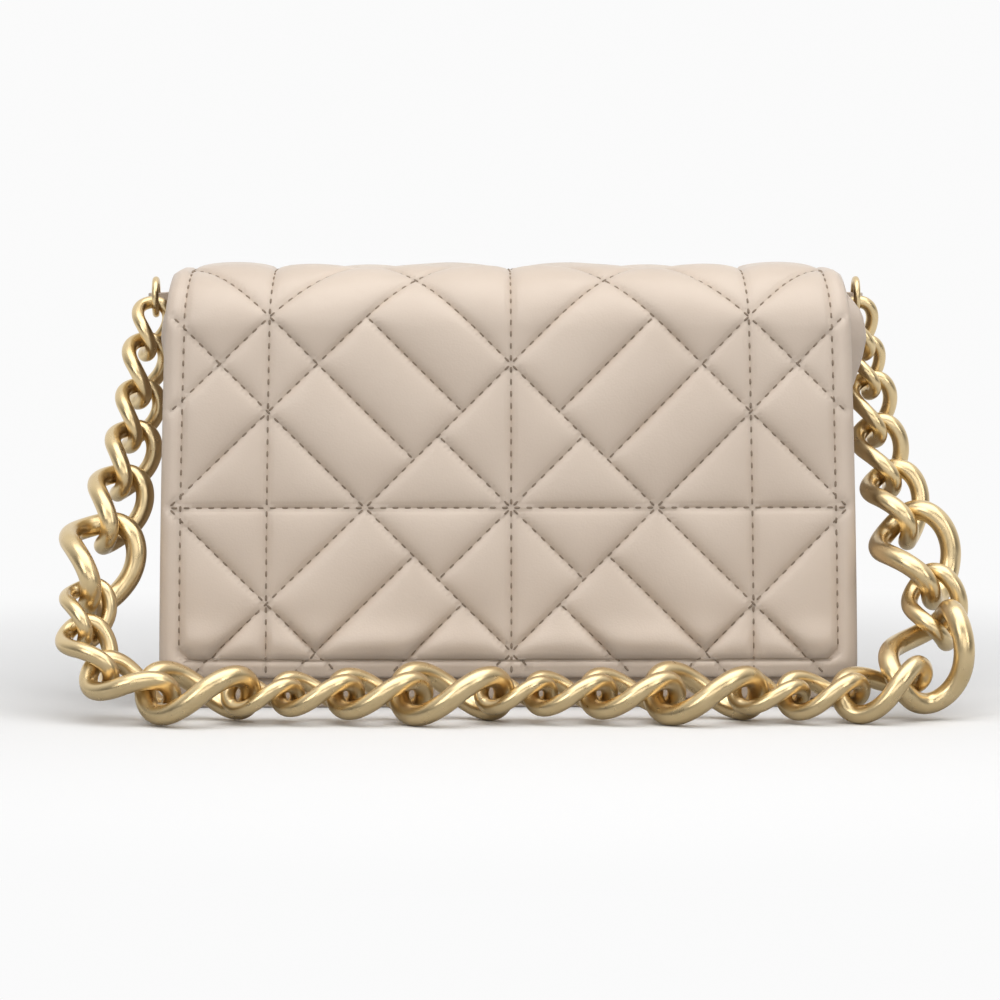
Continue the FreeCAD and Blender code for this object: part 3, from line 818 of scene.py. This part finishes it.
wear(lining, cloth)
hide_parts("lining")
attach(lining, "bag")


# Flap front. The quilted front of the flap with a plain border all round, its leather turned
# round a soft edge to the inside. It runs on over the rounded front to the middle of the top.
flap_half_width = 0.119
flap_edge_column = 86
flap_field_column = 81
flap_field_row = -38
flap_hem_row = -42.5
flap_column = flap_half_width / flap_edge_column
flap_net_shift = 0.0009
flap_crease_pinch = 0.0006
flap_corner_radius = 0.005
flap_edge_radius = 0.0016
flap_stitch_depth = 0.0012
flap_puff = 0.0034
flap_border_fullness = 1.5
flap_crease_fullness = 1.1
flap_crease_rows = 5.0
flap_top_fullness = 0.78
flap_top_rows = (45, 75)
# Strength of the painted shade in the hem's crease, a painted dark shadow line.
flap_crease_shade = 0.9
flap_shoulder_start = 0.88
flap_top_height = 0.149
flap_hem_height = 0.0108
flap_front_y = -0.0277
flap_hem_y = flap_front_y - (flap_top_height - flap_hem_height) * body_taper
flap_front_radius = 0.022
flap_back_radius = 0.006
flap_tail_y = body_mouth_half_depth + 0.0031
flap_tail_length = 0.012
flap_turn = math.pi / 2 - body_lean
flap_front_setback = flap_front_radius * math.tan(flap_turn / 2)
flap_back_setback = flap_back_radius * math.tan(flap_turn / 2)
flap_face_end = (flap_top_height - flap_hem_height) / math.cos(body_lean) - flap_front_setback
flap_arc_end = flap_face_end + flap_front_radius * flap_turn
flap_top_end = flap_arc_end + (flap_tail_y - flap_back_setback - flap_front_y - flap_front_setback)
flap_bend_end = flap_top_end + flap_back_radius * flap_turn
flap_end = flap_bend_end + flap_tail_length


def flap_section(along):
    """Place and outward direction on the flap's stitch level, by the length up from its hem."""
    face = np.minimum(along, flap_face_end)
    front_turn = np.clip((along - flap_face_end) / flap_front_radius, 0, flap_turn)
    top = np.clip(along, flap_arc_end, flap_top_end) - flap_arc_end
    back_turn = np.clip((along - flap_top_end) / flap_back_radius, 0, flap_turn)
    tail = np.maximum(along - flap_bend_end, 0)
    lean = body_lean + front_turn
    y = (flap_hem_y + math.sin(body_lean) * face
         + flap_front_radius * (math.cos(body_lean) - np.cos(lean)) + top
         + flap_back_radius * np.sin(back_turn) + math.sin(body_lean) * tail)
    z = (flap_hem_height + math.cos(body_lean) * face
         + flap_front_radius * (np.sin(lean) - math.sin(body_lean))
         + flap_back_radius * (np.cos(back_turn) - 1) - math.cos(body_lean) * tail)
    out_y = -np.cos(lean + back_turn)
    out_z = np.sin(lean + back_turn)
    return y - out_y * flap_stitch_depth, z - out_z * flap_stitch_depth, out_y, out_z


def flap_narrowing(z):
    """The flap's width at a height, as a share of its hem's; its shoulders are rounded."""
    rise = np.clip((z - flap_hem_height) / (flap_top_height - flap_hem_height), 0, 1)
    shoulder = np.clip((rise - flap_shoulder_start) / (1 - flap_shoulder_start), 0, 1)
    return 1 - (0.0005 * rise + 0.0021 * rise ** 2 + 0.0018 * shoulder ** 2) / flap_half_width


def flap_across(columns):
    """Place across the flap; the middle of the net lies a little to the right."""
    shift = flap_net_shift * np.clip(1 - (columns / flap_field_column) ** 2, 0, 1)
    return columns * flap_column + shift


def flap_along(rows):
    """Length up from the hem; the rows beside the hem's crease are drawn together into it."""
    from_crease = rows - flap_field_row
    pinch = flap_crease_pinch * from_crease * np.exp(0.5 - from_crease ** 2 / 2)
    return (rows - flap_hem_row) * net_cell - pinch


def flap_point(across, along, height):
    return sewn_sheet(across, along, height, flap_half_width, 0.0, flap_end, flap_corner_radius,
                      flap_edge_radius, flap_section, flap_narrowing)


flap_first_row = -50
flap_split_row = 71
flap_last_row = int(flap_end / net_cell + flap_hem_row) + 7
flap_side = 93
net_columns, net_rows = np.meshgrid(np.arange(-flap_side, flap_side + 1),
                                    np.arange(flap_first_row, flap_last_row + 1))
border_corner = 4
border_side = np.abs(net_columns) - flap_field_column + border_corner
border_below = flap_field_row + border_corner - net_rows
border = (np.hypot(np.maximum(border_side, 0), np.maximum(border_below, 0))
          + np.minimum(np.maximum(border_side, border_below), 0) - border_corner)
tail_row = flap_bend_end / net_cell + flap_hem_row
flap_held = (on_net(net_columns, net_rows) & (net_rows < tail_row)) | (np.abs(border) < 0.55)
flap_held |= np.abs(net_columns) > flap_edge_column - 2
flap_held |= (net_rows < flap_hem_row + 2) | (net_rows > tail_row)
flap_rise = swelling(flap_held)
above_crease = np.exp(-((net_rows - flap_field_row - 3) / flap_crease_rows) ** 2)
flap_rise *= np.where(border > 0, flap_border_fullness, 1 + flap_crease_fullness * above_crease)
flap_rise *= np.interp(net_rows, flap_top_rows, (1.0, flap_top_fullness))
flap_rim = np.abs(net_columns) < flap_edge_column - 2
flap_rim &= (net_rows > flap_hem_row + 2) & (net_rows < tail_row)
in_crease = np.abs(border) + np.abs(net_rows - flap_field_row) < 1
# Painted shade along the flap's stitch lines, strongest in the hem's crease.
flap_valley_shade = np.exp(-flap_rise * valley_shade_falloff) * flap_rim
flap_valley_shade = flap_valley_shade * np.where(in_crease, flap_crease_shade, valley_shade_share)


def flap_quilt(name, first_row, last_row):
    piece, columns, rows = leather_grid(name, -flap_side, flap_side, first_row, last_row)
    cells = (rows - flap_first_row, columns + flap_side)
    points = flap_point(flap_across(columns), flap_along(rows), flap_puff * flap_rise[cells])
    set_points(piece, points, (0, -1, 1))
    mark_valley_shade_and_puckers(piece, flap_valley_shade[cells])
    fold_along_stitches(piece, flap_held[cells])
    finish_with(piece, "SOLIDIFY", thickness=0.0009, offset=-1.0)
    smooth(piece, 60.0)
    wear(piece, quilt_leather)
    return piece


def flap_sewing(name, runs):
    across = flap_across(runs[:, :, 0] / net_cell)
    along = flap_along(runs[:, :, 1] / net_cell)
    starts, ends = (flap_point(across[:, end], along[:, end], stitch_lift) for end in (0, 1))
    y, z, out_y, out_z = flap_section(along.mean(1))
    piece = sew(name, starts, ends, np.stack([0 * out_y, out_y, out_z], 1))
    wear(piece, thread)
    return piece


front_bend_start = (0.0, -0.010, 0.148)
front_bend_end = (0.0, -0.030, 0.128)
flap_front = flap_quilt("flap_front_quilt", flap_first_row, flap_split_row)
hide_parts("flap_front_leather", "flap_front_wadding")
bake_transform(flap_front)

border_x = flap_field_column * net_cell
border_y = flap_field_row * net_cell
split_y = flap_split_row * net_cell
sewn_x = (flap_edge_column - 1.5) * net_cell
sewn_y = (flap_hem_row + 1.5) * net_cell
corner_cut = 0.004
front_runs = np.concatenate([
    net_stitches(sewn_y, split_y, sewn_x),
    stitches_along(-border_x, border_y + corner_cut, -border_x, split_y),
    stitches_along(border_x, border_y + corner_cut, border_x, split_y)])
flap_front_stitches = flap_sewing("flap_front_stitches", front_runs)
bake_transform(flap_front_stitches)


# Flap top. The same quilted leather, going on from the front over the top of the bag and down
# the back for a finger's width, where its tail is sewn to the back panel with two rows.
back_bend_start = (0.0, 0.0250, 0.138)
back_bend_end = (0.0, 0.0130, 0.149)
flap_top = flap_quilt("flap_top_quilt", flap_split_row, flap_last_row)
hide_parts("flap_top_leather", "flap_top_wadding")
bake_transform(flap_top)

tail_sewn_y = flap_end - 0.0035 + flap_hem_row * net_cell
tail_row_gap = 0.006
top_runs = np.concatenate([
    net_stitches(split_y, tail_row * net_cell, sewn_x),
    stitches_along(-border_x, split_y, -border_x, tail_sewn_y),
    stitches_along(border_x, split_y, border_x, tail_sewn_y),
    stitches_along(-border_x, tail_sewn_y, border_x, tail_sewn_y),
    stitches_along(-border_x, tail_sewn_y - tail_row_gap, border_x, tail_sewn_y - tail_row_gap)])
flap_top_stitches = flap_sewing("flap_top_stitches", top_runs)
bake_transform(flap_top_stitches)


# Flap linings. Taupe twill glued and sewn to the inside of the flap just short of its turned
# edge, one piece behind the front and one under the top.
lining_drop = 0.0034
twill_inset = 0.0035
twill_half_width = flap_half_width - twill_inset
twill_columns = 44
twill_rows = 60
twill_split = flap_along(flap_split_row)
for name, first, last, node, bodies, start, end in (
        ("flap_front_twill", twill_inset, twill_split, "flap_front_lining",
         ("flap_top", "flap_front"), front_bend_start, front_bend_end),
        ("flap_top_twill", twill_split, flap_bend_end - 0.002, "flap_top_lining",
         ("bag", "flap_top"), back_bend_start, back_bend_end)):
    sheet, columns, rows = leather_grid(name, -twill_columns, twill_columns, 0, twill_rows)
    y, z, out_y, out_z = flap_section(first + (last - first) * rows / twill_rows)
    x = columns / twill_columns * twill_half_width * flap_narrowing(z)
    points = np.stack([x, y - out_y * lining_drop, z - out_z * lining_drop], 1)
    set_points(sheet, points, (0, 1, -1))
    finish_with(sheet, "SOLIDIFY", thickness=0.0006, offset=1.0)
    smooth(sheet, 50.0)
    wear(sheet, cloth)
    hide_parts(node)
    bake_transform(sheet)


# Rings and chain. Cast links of five sizes, tumbled and plated in a satin gold, hung from two
# small wire rings. Their shapes come from the solids; the finish is a little clouded and scratched.
gold, nodes, links, plating = new_material("satin_gold")
plating.inputs["Metallic"].default_value = 1.0
gold_place = nodes.new("ShaderNodeTexCoord")
gold_clouds = nodes.new("ShaderNodeTexNoise")
gold_clouds.inputs["Scale"].default_value = 160.0
gold_clouds.inputs["Detail"].default_value = 4.0
gold_scratches = nodes.new("ShaderNodeTexNoise")
gold_scratches.inputs["Scale"].default_value = 420.0
gold_scratches.inputs["Detail"].default_value = 2.0
gold_tone = two_tone(nodes, (0.63, 0.475, 0.25), (0.76, 0.605, 0.36))
gold_rough = value_range(nodes, 0.27, 0.31, from_low=0.3, from_high=0.7)
gold_bump = nodes.new("ShaderNodeBump")
gold_bump.inputs["Strength"].default_value = 0.006
gold_bump.inputs["Distance"].default_value = 0.00008
for texture in (gold_clouds, gold_scratches):
    links.new(gold_place.outputs["Object"], texture.inputs["Vector"])
links.new(gold_clouds.outputs["Fac"], gold_tone.inputs["Factor"])
links.new(gold_tone.outputs[2], plating.inputs["Base Color"])
links.new(gold_scratches.outputs["Fac"], gold_rough.inputs["Value"])
links.new(gold_rough.outputs["Result"], plating.inputs["Roughness"])
links.new(gold_scratches.outputs["Fac"], gold_bump.inputs["Height"])
links.new(gold_bump.outputs["Normal"], plating.inputs["Normal"])


def cover(node, material):
    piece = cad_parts[node]
    piece.data.materials.clear()
    piece.data.materials.append(material)


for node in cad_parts:
    if node.startswith("chain_link") or node in ("left_ring", "right_ring"):
        cover(node, gold)


# Hidden stiffeners. A grey pressed board under the lining and two flat steel discs, one in the
# flap and one behind the front panel, which hold the flap shut.
board, nodes, links, pressed = new_material("pressed_board")
pressed.inputs["Roughness"].default_value = 0.85
board_place = nodes.new("ShaderNodeTexCoord")
board_fibres = nodes.new("ShaderNodeTexNoise")
board_fibres.inputs["Scale"].default_value = 220.0
board_fibres.inputs["Detail"].default_value = 6.0
board_tone = two_tone(nodes, (0.20, 0.18, 0.15), (0.34, 0.31, 0.26))
links.new(board_place.outputs["Object"], board_fibres.inputs["Vector"])
links.new(board_fibres.outputs["Fac"], board_tone.inputs["Factor"])
links.new(board_tone.outputs[2], pressed.inputs["Base Color"])
cover("base_board", board)

steel, nodes, links, plate = new_material("magnet_steel")
plate.inputs["Metallic"].default_value = 1.0
plate.inputs["Base Color"].default_value = (0.55, 0.55, 0.56, 1.0)
steel_place = nodes.new("ShaderNodeTexCoord")
steel_marks = nodes.new("ShaderNodeTexNoise")
steel_marks.inputs["Scale"].default_value = 900.0
steel_rough = value_range(nodes, 0.25, 0.45)
links.new(steel_place.outputs["Object"], steel_marks.inputs["Vector"])
links.new(steel_marks.outputs["Fac"], steel_rough.inputs["Value"])
links.new(steel_rough.outputs["Result"], plate.inputs["Roughness"])
for node in ("panel_magnet", "flap_magnet"):
    cover(node, steel)
